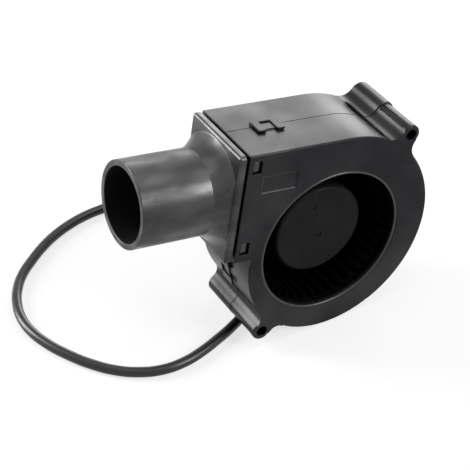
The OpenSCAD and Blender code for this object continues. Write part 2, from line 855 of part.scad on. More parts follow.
module thrust_washer() {
    color("#c9a15a") placed() turned()
        band(shaft_r + seat_gap, washer_r, clip_y - washer_t, clip_y);
}

module retaining_clip() {
    color("#5a5d61") placed() slab(clip_y, clip_y + clip_t) difference() {
        circle(washer_r + clip_rim);
        circle(clip_groove_r);
        rect([-clip_groove_r, 0], [clip_groove_r, washer_r + cut]);
    }
}

// Core drawing: a ring on the bearing tube, four teeth and their pole shoes
module core_drawing(tooth, tip) {
    difference() {
        union() {
            circle(tube_r + core_ring);
            for (a = [0, 90]) rotate(a) square([2 * (tip - tooth_sink), tooth], center = true);
            difference() {
                circle(tip);
                circle(core_r - shoe_t);
                for (a = [45, 135]) rotate(a) square([3 * tip, shoe_gap], center = true);
            }
        }
        circle(tube_r);
    }
}

module stator_core() {
    color("#6c6f75") placed() slab(core_front, core_back) core_drawing(tooth_w, core_r);
}

module front_insulator() {
    color("#e8e4d6") placed() slab(core_front - insul_t, core_front)
        core_drawing(tooth_w, core_r - insul_in);
}

module rear_insulator() {
    color("#e8e4d6") placed() slab(core_back, core_back + insul_t)
        core_drawing(tooth_w, core_r - insul_in);
}

// One winding sits on each tooth, between the core's ring and the pole shoe
module stator_coils() {
    half = tooth_w / 2 + coil_gap;
    y0 = core_front - insul_t - coil_gap;
    y1 = core_back + insul_t + coil_gap;
    r0 = tube_r + core_ring + coil_ring_gap;
    r1 = sqrt(pow(core_r - shoe_t, 2) - pow(half + coil_t, 2)) - coil_shoe_gap;
    color("#b0602c") placed() for (a = [0:90:270]) rotate([0, a, 0]) difference() {
        block([r0, y0 - coil_t, -half - coil_t], [r1, y1 + coil_t, half + coil_t]);
        block([r0 - cut, y0, -half], [r1 + cut, y1, half]);
    }
}

module circuit_board() {
    color("#2f6b3a") placed() slab(board_front, board_back) difference() {
        circle(board_r);
        circle(tube_r + board_gap);
        translate(gland) for (s = [-wire_at, wire_at]) translate([s, 0]) circle(wire_r);
    }
}

// Part on the board: its middle at radius r in direction a, size along radius, depth and across
module on_board(r, a, y, size) {
    rotate([0, -a, 0])
        block([r - size[0] / 2, y, -size[2] / 2], [r + size[0] / 2, y + size[1], size[2] / 2]);
}

module driver_chip() {
    color("#1b1b1c") placed() on_board(chip_at[0], chip_at[1], board_back, chip_size);
}

module hall_sensor() {
    color("#202021") placed()
        on_board(core_r - hall_in, hall_angle, board_front - hall_size[1], hall_size);
}

module board_capacitor() {
    p = at([0, 0], cap_at[0], cap_at[1]);
    color("#8c7a52") placed() translate([p[0], 0, p[1]]) rod(cap_r, board_back, board_back + cap_h);
}

module lead_wires() {
    color("#8f2320") placed() translate([gland[0], 0, gland[1]])
        for (s = [-wire_at, wire_at]) translate([s, 0, 0])
            rod(wire_r, board_front, back_in - neck_in);
}

module cord_gland() {
    color("#1e1e1f") placed() translate([gland[0], 0, gland[1]]) {
        rod(neck_r, back_in - neck_in, back_y);
        rod(gland_r, back_y, back_y + gland_flange);
        translate([0, back_y + gland_flange, 0]) rotate([-90, 0, 0])
            cylinder(r1 = neck_r + boot_rise, r2 = cord_r + boot_wall,
                     h = gland_len - gland_flange);
    }
}

// Tube with round section swept along a list of points
tube_sides = 8;
function unit(v) = v / norm(v);
function ring_points(p, along) =
    let (side = unit(cross(along, [0, 0, 1])), up = cross(side, along))
    [for (k = [0:tube_sides - 1])
        p + cord_r * (cos(360 * k / tube_sides) * side + sin(360 * k / tube_sides) * up)];
module swept(points) {
    last = len(points) - 1;
    rings = [for (i = [0:last])
        ring_points(points[i], unit(points[min(i + 1, last)] - points[max(i - 1, 0)]))];
    polyhedron(
        points = [for (ring = rings) each ring],
        faces = concat(
            [[for (k = [0:tube_sides - 1]) k]],
            [for (i = [0:last - 1]) for (k = [0:tube_sides - 1])
                let (a = i * tube_sides + k, b = i * tube_sides + (k + 1) % tube_sides)
                [a, a + tube_sides, b + tube_sides, b]],
            [[for (k = [tube_sides - 1:-1:0]) last * tube_sides + k]]
        )
    );
}

module power_cord() {
    color("#19191a") {
        swept(cord_route);
        swept(tail_route);
    }
}

// Section of the coil: two turns side by side in two layers
module coil_section(grow) {
    for (r = [-cord_r, cord_r]) for (z = [cord_r, 3 * cord_r])
        translate([coil_r + r, z]) circle(cord_r + grow);
    rect([coil_r - cord_r - grow, cord_r], [coil_r + cord_r + grow, 3 * cord_r]);
    rect([coil_r - cord_d - grow, cord_r], [coil_r + cord_d + grow, 3 * cord_r]);
    rect([coil_r - cord_r, -grow], [coil_r + cord_r, 4 * cord_r + grow]);
}

module cord_coil() {
    color("#19191a") translate([coil_c[0], coil_c[1], coil_z]) rotate_extrude() coil_section(0);
}

module cord_tie() {
    color("#101011") translate([coil_c[0], coil_c[1], coil_z]) rotate([0, 0, 135])
        rotate([90, 0, 0]) translate([0, 0, -tie_w / 2]) linear_extrude(tie_w) difference() {
            coil_section(tie_gap + tie_t);
            coil_section(tie_gap);
        }
}

// Turns a drawing in radius and length round the plug's axis
module along_plug() {
    translate([plug_x, plug_y, plug_r]) rotate([-90, 0, 0]) rotate_extrude() children();
}

module plug_body() {
    color("#1c1c1d") along_plug() difference() {
        union() {
            polygon([
                [0, 0], [cord_r + boot_wall, 0], [plug_r - plug_step, boot_len], [0, boot_len]
            ]);
            rect([0, boot_len], [plug_r, boot_len + plug_len]);
        }
        for (i = [0:grip_ribs - 1])
            translate([plug_r - grip_depth, boot_len + grip_start + 2 * i * grip_rib])
                square([cut, grip_rib]);
    }
}

module plug_barrel() {
    from = boot_len + plug_len;
    color("#c4c7cb") along_plug()
        rect([sleeve_r - sleeve_wall, from], [sleeve_r, from + sleeve_len]);
}

module plug_insulator() {
    from = boot_len + plug_len;
    color("#141415") along_plug()
        rect([pin_r, from], [sleeve_r - sleeve_wall, from + sleeve_len - sleeve_lip]);
}

front_cover();
rear_housing();
air_nozzle();
impeller();
rotor_yoke();
magnet_ring();
rotor_shaft();
bearing_tube();
bearing_outer_rings();
bearing_inner_rings();
bearing_balls();
thrust_washer();
retaining_clip();
stator_core();
front_insulator();
rear_insulator();
stator_coils();
circuit_board();
driver_chip();
hall_sensor();
board_capacitor();
lead_wires();
cord_gland();
power_cord();
cord_coil();
cord_tie();
plug_body();
plug_barrel();
plug_insulator();
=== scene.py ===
"""Looks of a small barbecue blower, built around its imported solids.

The moulded pieces are softened copies of their solids, the lead is one curve of its real
length, and every solid that stays gets a finish of its own.
"""

import json
import logging
import math
from dataclasses import dataclass, field
from enum import Enum
from typing import ClassVar, Union

import bmesh
import bpy
from mathutils import Matrix, Vector
from mathutils.bvhtree import BVHTree
from mathutils.kdtree import KDTree

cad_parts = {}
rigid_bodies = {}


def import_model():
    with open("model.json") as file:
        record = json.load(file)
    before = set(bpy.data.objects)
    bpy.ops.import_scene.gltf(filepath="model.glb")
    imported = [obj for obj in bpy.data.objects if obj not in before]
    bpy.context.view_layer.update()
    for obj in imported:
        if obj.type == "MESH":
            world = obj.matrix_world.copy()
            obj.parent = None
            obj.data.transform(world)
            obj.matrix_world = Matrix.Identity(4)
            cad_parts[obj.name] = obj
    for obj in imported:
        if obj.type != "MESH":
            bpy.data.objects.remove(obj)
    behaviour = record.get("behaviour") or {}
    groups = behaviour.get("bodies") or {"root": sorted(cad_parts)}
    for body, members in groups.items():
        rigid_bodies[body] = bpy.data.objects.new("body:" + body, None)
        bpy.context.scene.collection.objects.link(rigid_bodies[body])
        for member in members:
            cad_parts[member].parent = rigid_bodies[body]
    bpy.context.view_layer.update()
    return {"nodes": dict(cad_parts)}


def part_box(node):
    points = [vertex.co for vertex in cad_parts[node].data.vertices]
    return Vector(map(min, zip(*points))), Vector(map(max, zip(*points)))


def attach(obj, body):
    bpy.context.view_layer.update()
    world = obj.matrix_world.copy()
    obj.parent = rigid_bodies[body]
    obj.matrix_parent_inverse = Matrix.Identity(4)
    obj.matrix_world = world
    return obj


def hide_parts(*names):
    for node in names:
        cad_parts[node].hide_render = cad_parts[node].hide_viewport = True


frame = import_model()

MM = 0.001
AXLE = sum(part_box("rotor_shaft"), Vector()) / 2
WHITE = (1.0, 1.0, 1.0, 1.0)
Colour = tuple[float, float, float]
Point = tuple[float, float, float]
Span = tuple[float, float]
log = logging.getLogger("blower")


class Body(Enum):
    """Bodies of the part that a piece can ride on."""

    HOUSING = "housing"
    ROTOR = "rotor"


class Signal:
    """One output of a node, on which Python's operators add Math nodes."""

    def __init__(self, shader: "Shader", socket: bpy.types.NodeSocket) -> None:
        """Keeps the output and the shader that it belongs to.

        Args:
            shader: Shader whose node tree holds the output.
            socket: The output itself.
        """
        self.shader = shader
        self.socket = socket

    def _math(self, operation: str, first: "Value", second: "Value") -> "Signal":
        """Adds a Math node.

        Args:
            operation: Name of the Math node's operation.
            first: First operand.
            second: Second operand.

        Returns:
            The node's result.
        """
        return self.shader.node("ShaderNodeMath", {"operation": operation}, {0: first, 1: second})

    def __add__(self, other: "Value") -> "Signal":
        """Sum."""
        return self._math("ADD", self, other)

    def __radd__(self, other: "Value") -> "Signal":
        """Sum with a number on the left."""
        return self._math("ADD", other, self)

    def __sub__(self, other: "Value") -> "Signal":
        """Difference."""
        return self._math("SUBTRACT", self, other)

    def __rsub__(self, other: "Value") -> "Signal":
        """Difference with a number on the left."""
        return self._math("SUBTRACT", other, self)

    def __mul__(self, other: "Value") -> "Signal":
        """Product."""
        return self._math("MULTIPLY", self, other)

    def __rmul__(self, other: "Value") -> "Signal":
        """Product with a number on the left."""
        return self._math("MULTIPLY", other, self)


Value = Union[Signal, float, tuple]


class Shader:
    """Node tree of one material, with a Principled surface at its end."""

    MASK_MIDDLE = 0.5
    MASK_EDGE = 0.01

    def __init__(self, name: str, constants: dict[str, Value]) -> None:
        """Makes the material and its surface.

        Args:
            name: Name of the material.
            constants: Values of the surface's sockets that are the same all over.
        """
        self.material = bpy.data.materials.new(name)
        self.material.use_nodes = True
        self.tree = self.material.node_tree
        self.tree.nodes.clear()
        self.surface = self.tree.nodes.new("ShaderNodeBsdfPrincipled")
        end = self.tree.nodes.new("ShaderNodeOutputMaterial")
        self.tree.links.new(self.surface.outputs[0], end.inputs["Surface"])
        self.wire(self.surface, constants)

    def wire(self, node: bpy.types.Node, inputs: dict[Union[str, int], Value]) -> None:
        """Sets or links the inputs of a node.

        Args:
            node: The node.
            inputs: Values or outputs by the input's name or number.
        """
        for key, value in inputs.items():
            if isinstance(value, Signal):
                self.tree.links.new(value.socket, node.inputs[key])
            else:
                node.inputs[key].default_value = value

    def node(self, kind: str, settings: dict, inputs: dict, output: Union[str, int] = 0) -> Signal:
        """Adds a node.

        Args:
            kind: Blender's name of the node's type.
            settings: Attributes of the node, and stops for a ramp.
            inputs: Values or outputs by the input's name or number.
            output: Output that is wanted.

        Returns:
            That output.
        """
        made = self.tree.nodes.new(kind)
        for key, value in settings.items():
            if key == "stops":
                for element, (place, level) in zip(made.color_ramp.elements, value):
                    element.position = place
                    element.color = (level, level, level, 1.0)
            else:
                setattr(made, key, value)
        self.wire(made, inputs)
        return Signal(self, made.outputs[output])

    def place(self, stretch: Point = (1.0, 1.0, 1.0), shift: Point = (0.0, 0.0, 0.0)) -> Signal:
        """Object coordinates, stretched and then shifted.

        Args:
            stretch: Factor along each axis.
            shift: Shift along each axis in metres.

        Returns:
            The coordinates.
        """
        here = self.node("ShaderNodeTexCoord", {}, {}, "Object")
        return self.node(
            "ShaderNodeMapping", {}, {"Vector": here, "Scale": stretch, "Location": shift}
        )

    def distance(self, where: Signal) -> Signal:
        """Length of some coordinates.

        Args:
            where: The coordinates.

        Returns:
            The length in metres.
        """
        return self.node("ShaderNodeVectorMath", {"operation": "LENGTH"}, {0: where}, "Value")

    def outside(self, radius: float) -> Signal:
        """Mask of what lies further than a radius from the axle.

        Args:
            radius: The radius in metres.

        Returns:
            The mask, 1 outside.
        """
        spoke = self.place((1.0, 0.0, 1.0), (-AXLE.x, 0.0, -AXLE.z))
        share = self.distance(spoke) * (self.MASK_MIDDLE / radius)
        span = (self.MASK_MIDDLE - self.MASK_EDGE, self.MASK_MIDDLE + self.MASK_EDGE)
        return self.ramp(share, span)

    def noise(self, size: float, detail: float, where: Signal) -> Signal:
        """Noise between 0 and 1.

        Args:
            size: Size of its patches in metres.
            detail: Octaves.
            where: Coordinates.

        Returns:
            The noise.
        """
        return self.node(
            "ShaderNodeTexNoise", {}, {"Vector": where, "Scale": 1.0 / size, "Detail": detail}
        )

    def ramp(self, level: Signal, span: Span) -> Signal:
        """Spreads a span of a signal over the whole range from 0 to 1.

        Args:
            level: The signal.
            span: Levels that become 0 and 1.

        Returns:
            The spread signal.
        """
        low, high = span
        stops = ((low, 0.0), (high, 1.0))
        return self.node("ShaderNodeValToRGB", {"stops": stops}, {"Fac": level})

    def blend(self, share: Value, first: Colour, second: Colour) -> Signal:
        """Mixes two colours.

        Args:
            share: Share of the second colour.
            first: First colour.
            second: Second colour.

        Returns:
            The mixed colour.
        """
        return self.node(
            "ShaderNodeMix",
            {"data_type": "RGBA"},
            {0: share, 6: (*first, 1.0), 7: (*second, 1.0)},
            2,
        )

    def bump(self, height: Signal, depth: float) -> None:
        """Leads a height field to the surface's normal.

        Args:
            height: Height between 0 and 1.
            depth: Real depth of that range in metres.
        """
        inputs = {"Height": height, "Distance": depth, "Strength": 1.0}
        self.wire(self.surface, {"Normal": self.node("ShaderNodeBump", {}, inputs)})


@dataclass(frozen=True)
class MouldedPlastic:
    """Satin moulded plastic with a spark-eroded grain and faint flow clouds.

    Handling leaves patches of a brighter sheen on it. A turning piece may be dull from a
    radius about the axle outwards, with painted shade that darkens its colour there, and
    show only the lighter of its tones within.
    """

    name: str
    dark: Colour
    light: Colour
    gloss: float = 0.42
    gloss_range: float = 0.08
    grain: float = 0.22 * MM
    grain_depth: float = 0.004 * MM
    cloud: float = 9 * MM
    level: float = 0.22
    sheen: float = 0.0
    sheen_size: float = 16 * MM
    sheen_stretch: Point = (1.0, 1.0, 1.0)
    sheen_shift: Point = (0.0, 0.0, 0.0)
    dull_and_shade_from: float = 0.0
    dull_gloss: float = 0.9

    IOR: ClassVar[float] = 1.5
    CLOUD_SPAN: ClassVar[Span] = (0.36, 0.66)
    RUB: ClassVar[float] = 1.6 * MM
    RUB_STRETCH: ClassVar[Point] = (1.0, 0.18, 1.0)
    SHEEN_SPAN: ClassVar[Span] = (0.38, 0.64)
    INNER_RANGE: ClassVar[float] = 0.4

    def material(self) -> bpy.types.Material:
        """Makes the material.

        Returns:
            The material.
        """
        shader = Shader(self.name, {"Specular IOR Level": self.level, "IOR": self.IOR})
        where = shader.place()
        grain = shader.noise(self.grain, 2.0, where)
        clouds = shader.ramp(shader.noise(self.cloud, 4.0, where), self.CLOUD_SPAN)
        rubs = shader.noise(self.RUB, 3.0, shader.place(self.RUB_STRETCH))
        share = clouds * 0.6 + grain * 0.4
        rough = self.gloss + self.gloss_range * (clouds * 0.5 + rubs * 0.3 + grain * 0.2)
        # Painted shade: beyond that radius the colour drops to the darkest tone, standing for the
        # shade deep in the inlet, and the roughness goes dull; within, only the lighter tones show.
        if self.dull_and_shade_from:
            dull_and_shade = shader.outside(self.dull_and_shade_from)
            share = (share * self.INNER_RANGE + (1.0 - self.INNER_RANGE)) * (1.0 - dull_and_shade)
            rough = rough + (self.dull_gloss - self.gloss) * dull_and_shade
        colour = shader.blend(share, self.dark, self.light)
        shader.wire(shader.surface, {"Base Color": colour, "Roughness": rough})
        if self.sheen:
            patches = shader.place(self.sheen_stretch, self.sheen_shift)
            handled = shader.ramp(shader.noise(self.sheen_size, 3.0, patches), self.SHEEN_SPAN)
            coat = {"Coat Weight": self.sheen * handled, "Coat Roughness": self.gloss}
            shader.wire(shader.surface, coat)
        shader.bump(grain * 0.8 + rubs * 0.2, self.grain_depth)
        return shader.material


@dataclass(frozen=True)
class Metal:
    """Metal with fine tool marks along one direction."""

    name: str
    colour: Colour
    shade: Colour
    gloss: float = 0.25
    stretch: Point = (1.0, 1.0, 0.06)
    mark: float = 0.25 * MM
    mark_depth: float = 0.004 * MM
    stain: float = 3 * MM
    gloss_range: float = 0.18

    STAIN_SPAN: ClassVar[Span] = (0.35, 0.7)

    def material(self) -> bpy.types.Material:
        """Makes the material.

        Returns:
            The material.
        """
        shader = Shader(self.name, {"Metallic": 1.0})
        marks = shader.noise(self.mark, 3.0, shader.place(self.stretch))
        stains = shader.ramp(shader.noise(self.stain, 3.0, shader.place()), self.STAIN_SPAN)
        shader.wire(
            shader.surface,
            {
                "Base Color": shader.blend(stains * 0.7 + marks * 0.3, self.colour, self.shade),
                "Roughness": self.gloss + self.gloss_range * (marks * 0.6 + stains * 0.4),
            },
        )
        shader.bump(marks, self.mark_depth)
        return shader.material


@dataclass(frozen=True)
class WoundWire:
    """Enamelled wire laid in tight turns."""

    name: str
    colour: Colour
    shade: Colour
    pitch: float = 0.35 * MM
    depth: float = 0.12 * MM
    gloss: float = 0.22
    gloss_range: float = 0.2

    METAL: ClassVar[float] = 0.85
    BANDS: ClassVar[float] = 0.16
    WANDER: ClassVar[float] = 0.6

    def material(self) -> bpy.types.Material:
        """Makes the material.

        Returns:
            The material.
        """
        shader = Shader(self.name, {"Metallic": self.METAL})
        turns = shader.node(
            "ShaderNodeTexWave",
            {"bands_direction": "DIAGONAL"},
            {
                "Vector": shader.place(),
                "Scale": self.BANDS / self.pitch,
                "Distortion": self.WANDER,
                "Detail": 2.0,
            },
        )
        shader.wire(
            shader.surface,
            {
                "Base Color": shader.blend(turns, self.shade, self.colour),
                "Roughness": self.gloss + self.gloss_range * (1.0 - turns),
            },
        )
        shader.bump(turns, self.depth)
        return shader.material


@dataclass(frozen=True)
class SoftSheath:
    """Soft plastic sheath of a lead, with a fine skin and faint patches."""

    name: str
    dark: Colour
    light: Colour
    gloss: float = 0.24
    gloss_range: float = 0.12
    level: float = 0.4
    patch: float = 6 * MM
    skin: float = 0.5 * MM
    skin_depth: float = 0.012 * MM

    PATCH_SPAN: ClassVar[Span] = (0.3, 0.7)

    def material(self) -> bpy.types.Material:
        """Makes the material.

        Returns:
            The material.
        """
        shader = Shader(self.name, {"Specular IOR Level": self.level})
        where = shader.place()
        patches = shader.ramp(shader.noise(self.patch, 3.0, where), self.PATCH_SPAN)
        skin = shader.noise(self.skin, 3.0, where)
        shader.wire(
            shader.surface,
            {
                "Base Color": shader.blend(patches * 0.7 + skin * 0.3, self.dark, self.light),
                "Roughness": self.gloss + self.gloss_range * (patches * 0.6 + skin * 0.4),
            },
        )
        shader.bump(skin, self.skin_depth)
        return shader.material


class Bench:
    """Modelling moves that the sub-assemblies share."""

    JOIN = 0.002 * MM
    FLAT = math.radians(0.4)

    @staticmethod
    def deselect() -> None:
        """Leaves nothing selected."""
        for other in bpy.context.scene.objects:
            other.select_set(False)

    @staticmethod
    def only(piece: bpy.types.Object) -> None:
        """Selects one piece and makes it the active one.

        Args:
            piece: The piece.
        """
        Bench.deselect()
        piece.select_set(True)
        bpy.context.view_layer.objects.active = piece

    @staticmethod
    def add(name: str, data: bpy.types.ID) -> bpy.types.Object:
        """Adds an object to the scene.

        Args:
            name: Name of the object.
            data: Its mesh, curve, light or camera.

        Returns:
            The object.
        """
        made = bpy.data.objects.new(name, data)
        bpy.context.scene.collection.objects.link(made)
        return made

    @staticmethod
    def copy(node: str, name: str) -> bpy.types.Object:
        """Copies a solid's mesh into a new piece with joined vertices.

        Args:
            node: Name of the solid.
            name: Name of the piece.

        Returns:
            The piece.
        """
        mesh = frame["nodes"][node].data.copy()
        piece = Bench.add(name, mesh)
        mesh.materials.clear()
        Bench.only(piece)
        bpy.ops.mesh.customdata_custom_splitnormals_clear()
        bpy.ops.object.mode_set(mode="EDIT")
        bpy.ops.mesh.select_all(action="SELECT")
        bpy.ops.mesh.remove_doubles(threshold=Bench.JOIN)
        bpy.ops.mesh.dissolve_limited(angle_limit=Bench.FLAT)
        bpy.ops.mesh.vert_connect_concave()
        bpy.ops.object.mode_set(mode="OBJECT")
        return piece

    @staticmethod
    def dress(node: str, material: bpy.types.Material) -> None:
        """Gives a solid a finish.

        Args:
            node: Name of the solid.
            material: The finish.
        """
        slots = frame["nodes"][node].data.materials
        slots.clear()
        slots.append(material)
        log.info("%s: dressed", node)


class SoftEdges:
    """Rounds the sharp edges of a joined mesh, and leaves those that would tear it as they are."""

    SHARP = math.radians(32)
    CREASE = math.radians(9)
    SMOOTH = math.radians(50)
    SAMPLE = 0.1 * MM
    PASSES = 12
    # Shares of the rounding's width
    ON_CORNER = 0.02
    OFF_SURFACE = 0.5
    OFF_EDGE = 1.7
    REACH = 1.5

    def __init__(self, piece: bpy.types.Object, width: float, segments: int = 2) -> None:
        """Reads the piece's sharp edges.

        Args:
            piece: The piece, with joined vertices.
            width: Width of the rounding in metres.
            segments: Faces across the rounding.
        """
        self.piece = piece
        self.width = width
        self.segments = segments
        sheet = bmesh.new()
        sheet.from_mesh(piece.data)
        self.surface = BVHTree.FromBMesh(sheet)
        self.sharp = [
            edge.index for edge in sheet.edges
            if len(edge.link_faces) == 2 and edge.calc_face_angle() > self.SHARP
        ]
        self.ends = {edge.index: [v.co.copy() for v in edge.verts] for edge in sheet.edges}
        for edge in sheet.edges:
            edge.smooth = len(edge.link_faces) != 2 or edge.calc_face_angle() < self.CREASE
        sheet.to_mesh(piece.data)
        sheet.free()
        self.corners = self.tree([v.co for v in piece.data.vertices])
        self.owners: list[int] = []
        self.lines = self.line_tree()
        self.kept = set(self.sharp)

    @staticmethod
    def tree(points: list[Vector]) -> KDTree:
        """Tree for finding the nearest of some points.

        Args:
            points: The points.

        Returns:
            The tree.
        """
        tree = KDTree(len(points))
        for i, point in enumerate(points):
            tree.insert(point, i)
        tree.balance()
        return tree

    def line_tree(self) -> KDTree:
        """Tree of points along the sharp edges.

        Returns:
            The tree, whose points' edges are in owners.
        """
        points = []
        for index in self.sharp:
            start, end = self.ends[index]
            count = max(1, math.ceil((end - start).length / self.SAMPLE))
            for i in range(count + 1):
                points.append(start.lerp(end, i / count))
                self.owners.append(index)
        return self.tree(points)

    def torn(self, points: list[Vector]) -> list[Vector]:
        """Points that a rounding wouldn't make.

        Args:
            points: Vertices of the rounded mesh.

        Returns:
            Those that left the surface or lie too far from any sharp edge.
        """
        found = []
        for point in points:
            if self.corners.find(point)[2] < self.ON_CORNER * self.width:
                continue
            off_surface = self.surface.find_nearest(point)[3] / self.width
            off_edge = self.lines.find(point)[2] / self.width
            if off_surface > self.OFF_SURFACE or off_edge > self.OFF_EDGE:
                found.append(point)
        return found

    def apply(self) -> None:
        """Rounds the edges, pass by pass, until nothing is torn."""
        mesh = self.piece.data
        weights = mesh.attributes.new("bevel_weight_edge", "FLOAT", "EDGE")
        bevel = self.piece.modifiers.new("soft_edges", "BEVEL")
        bevel.width = self.width
        bevel.segments = self.segments
        bevel.limit_method = "WEIGHT"
        bevel.use_clamp_overlap = False
        bevel.loop_slide = False
        for _ in range(self.PASSES):
            levels = [1.0 if i in self.kept else 0.0 for i in range(len(mesh.edges))]
            weights.data.foreach_set("value", levels)
            mesh.update()
            rounded = self.piece.evaluated_get(bpy.context.evaluated_depsgraph_get())
            torn = self.torn([v.co.copy() for v in rounded.data.vertices])
            log.info("%s: %d torn points", self.piece.name, len(torn))
            if not torn:
                break
            for point in torn:
                reach = self.lines.find(point)[2] + self.REACH * self.width
                near = self.lines.find_range(point, reach)
                self.kept -= {self.owners[index] for _, index, _ in near}
        Bench.only(self.piece)
        bpy.ops.object.modifier_apply(modifier=bevel.name)
        bpy.ops.object.shade_smooth_by_angle(angle=self.SMOOTH, keep_sharp_edges=True)
        even = self.piece.modifiers.new("even_faces", "WEIGHTED_NORMAL")
        even.keep_sharp = True
        bpy.ops.object.modifier_apply(modifier=even.name)
        log.info("%s: %d of %d edges rounded", self.piece.name, len(self.kept), len(self.sharp))


@dataclass
class Shell:
    """A moulded piece: a softened copy that stands for its solid."""

    node: str
    body: Body
    slot: str
    finish: bpy.types.Material
    edge: float = 0.2 * MM

    def build(self) -> bpy.types.Object:
        """Models the piece and puts it on its body.

        Returns:
            The piece.
        """
        piece = Bench.copy(self.node, f"{self.node}_moulding")
        SoftEdges(piece, self.edge).apply()
        piece.data.materials.append(self.finish)
        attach(piece, self.body.value)
        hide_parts(self.node)
        log.info("%s: %d faces", piece.name, len(piece.data.polygons))
        return piece


@dataclass
class InletBead:
    """Fine bead on the rounded rim of the air inlet."""

    finish: bpy.types.Material
    radius: float = 26.4 * MM
    depth: float = 0.45 * MM
    section: float = 0.45 * MM
    around: int = 192
    across: int = 12

    def build(self) -> bpy.types.Object:
        """Spins the bead's section round the axle and puts the bead on the housing.

        Returns:
            The bead.
        """
        middle = Vector((AXLE.x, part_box("front_cover")[0].y + self.depth, AXLE.z))
        start = middle + Vector((self.radius, 0.0, 0.0))
        Bench.deselect()
        bpy.ops.mesh.primitive_circle_add(
            vertices=self.across, radius=self.section, location=start
        )
        piece = bpy.context.active_object
        piece.name = "inlet_bead"
        bpy.ops.object.mode_set(mode="EDIT")
        bpy.ops.mesh.select_all(action="SELECT")
        bpy.ops.mesh.spin(
            steps=self.around, angle=2 * math.pi, center=middle, axis=(0.0, 1.0, 0.0)
        )
        bpy.ops.mesh.select_all(action="SELECT")
        bpy.ops.mesh.remove_doubles(threshold=Bench.JOIN)
        bpy.ops.mesh.normals_make_consistent(inside=False)
        bpy.ops.object.mode_set(mode="OBJECT")
        bpy.ops.object.transform_apply(location=True, rotation=True, scale=True)
        bpy.ops.object.shade_smooth()
        piece.data.materials.append(self.finish)
        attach(piece, Body.HOUSING.value)
        log.info("%s: %d faces", piece.name, len(piece.data.polygons))
        return piece


@dataclass
class Lead:
    """The lead: its loose loop, its tied coil behind the case and its plug.

    Places are in millimetres, and a point without a height lies on the floor. The coil's
    changes are in degrees from where the lead enters it.
    """

    sheath: bpy.types.Material
    diameter: float = 3.6 * MM
    straight: float = 7.0
    coil_centre: Span = (34.0, 46.0)
    coil_radius: float = 20.0
    coil_lift: float = 0.65
    coil_enters: float = 262.0
    coil_leaves: float = 300.0
    coil_turns: int = 3
    lifts: Span = (0.0, 90.0)
    goes_in: Span = (270.0, 330.0)
    goes_up: Span = (600.0, 660.0)
    goes_out: Span = (900.0, 960.0)
    step: float = 24.0
    smoothness: int = 5
    loose: list[tuple[float, ...]] = field(
        default_factory=lambda: [
            (6, 44, 28.5), (4.5, 51, 26), (2, 58, 21.5), (-1, 64.5, 16), (-5, 70.5, 10.5),
            (-10, 75.5, 6), (-16.5, 79.2, 3), (-24, 80.6), (-31.5, 79.8), (-39, 77.7),
            (-46.5, 74.4), (-53.5, 70), (-60, 64.8), (-66, 59.2), (-70.8, 52.6), (-74.2, 45.2),
            (-76, 37.2), (-75.9, 29), (-73.6, 20), (-69.8, 11.5), (-65.2, 3.8), (-59.5, -3),
            (-53, -7.8), (-45.5, -10.6), (-37.5, -10.8), (-29.6, -9), (-22, -6.2), (-15, -3.2),
            (-8.6, 0.6), (-4, 6), (-0.9, 12.4), (3.2, 18.4), (9.2, 22.4), (16.4, 24.2),
            (24, 24.6, 2),
        ]
    )
    tail: list[Point] = field(
        default_factory=lambda: [
            (52.2, 31.6, 5.8), (58, 36.6, 5.4), (61.6, 42.6, 5), (62.6, 48, 4.75), (62.6, 50, 4.75),
        ]
    )

    @property
    def radius(self) -> float:
        """Radius of the lead in millimetres."""
        return self.diameter / MM / 2

    def laid(self) -> list[Point]:
        """Points of the loose loop, with a height for each.

        Returns:
            Points in millimetres.
        """
        return [point if len(point) > 2 else (*point, self.radius) for point in self.loose]

    def gland_tip(self) -> Point:
        """Middle of the gland's end, where the lead comes out, in millimetres.

        Returns:
            The point.
        """
        low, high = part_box("cord_gland")
        return ((low.x + high.x) / 2 / MM, high.y / MM, (low.z + high.z) / 2 / MM)

    def coil(self) -> list[Point]:
        """Turns of the coil: outer, inner, then inner and outer again on top.

        Returns:
            Points in millimetres.
        """
        total = 360.0 * self.coil_turns + (self.coil_leaves - self.coil_enters) % 360.0
        count = round(total / self.step)
        points = []
        for i in range(count + 1):
            turned = total * i / count
            inward = self.ease(turned, self.goes_in) - self.ease(turned, self.goes_out)
            upward = self.ease(turned, self.goes_up)
            reach = self.coil_radius + self.radius - 2 * self.radius * inward
            lift = self.coil_lift * self.ease(turned, self.lifts)
            angle = math.radians(self.coil_enters + turned)
            points.append((
                self.coil_centre[0] + reach * math.cos(angle),
                self.coil_centre[1] + reach * math.sin(angle),
                lift + self.radius + 2 * self.radius * upward,
            ))
        return points

    @staticmethod
    def ease(value: float, span: Span) -> float:
        """Smooth step from 0 to 1.

        Args:
            value: Where the step is read.
            span: Where it starts and ends.

        Returns:
            Level from 0 to 1.
        """
        low, high = span
        share = min(max((value - low) / (high - low), 0.0), 1.0)
        return share * share * (3 - 2 * share)

    def build(self) -> bpy.types.Object:
        """Lays the lead as one curve.

        Returns:
            The lead.
        """
        tip = self.gland_tip()
        out = (tip[0], tip[1] + self.straight, tip[2])
        route = [tip, out, *self.laid(), *self.coil(), *self.tail]
        curve = bpy.data.curves.new("lead", "CURVE")
        curve.dimensions = "3D"
        curve.resolution_u = self.smoothness
        curve.bevel_depth = self.diameter / 2
        curve.bevel_resolution = self.smoothness
        curve.use_fill_caps = True
        spline = curve.splines.new("BEZIER")
        spline.bezier_points.add(len(route) - 1)
        for point, place in zip(spline.bezier_points, route):
            point.co = Vector(place) * MM
            point.handle_left_type = "AUTO"
            point.handle_right_type = "AUTO"
        piece = Bench.add("lead", curve)
        curve.materials.append(self.sheath)
        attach(piece, Body.HOUSING.value)
        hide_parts("power_cord", "cord_coil")
        return piece


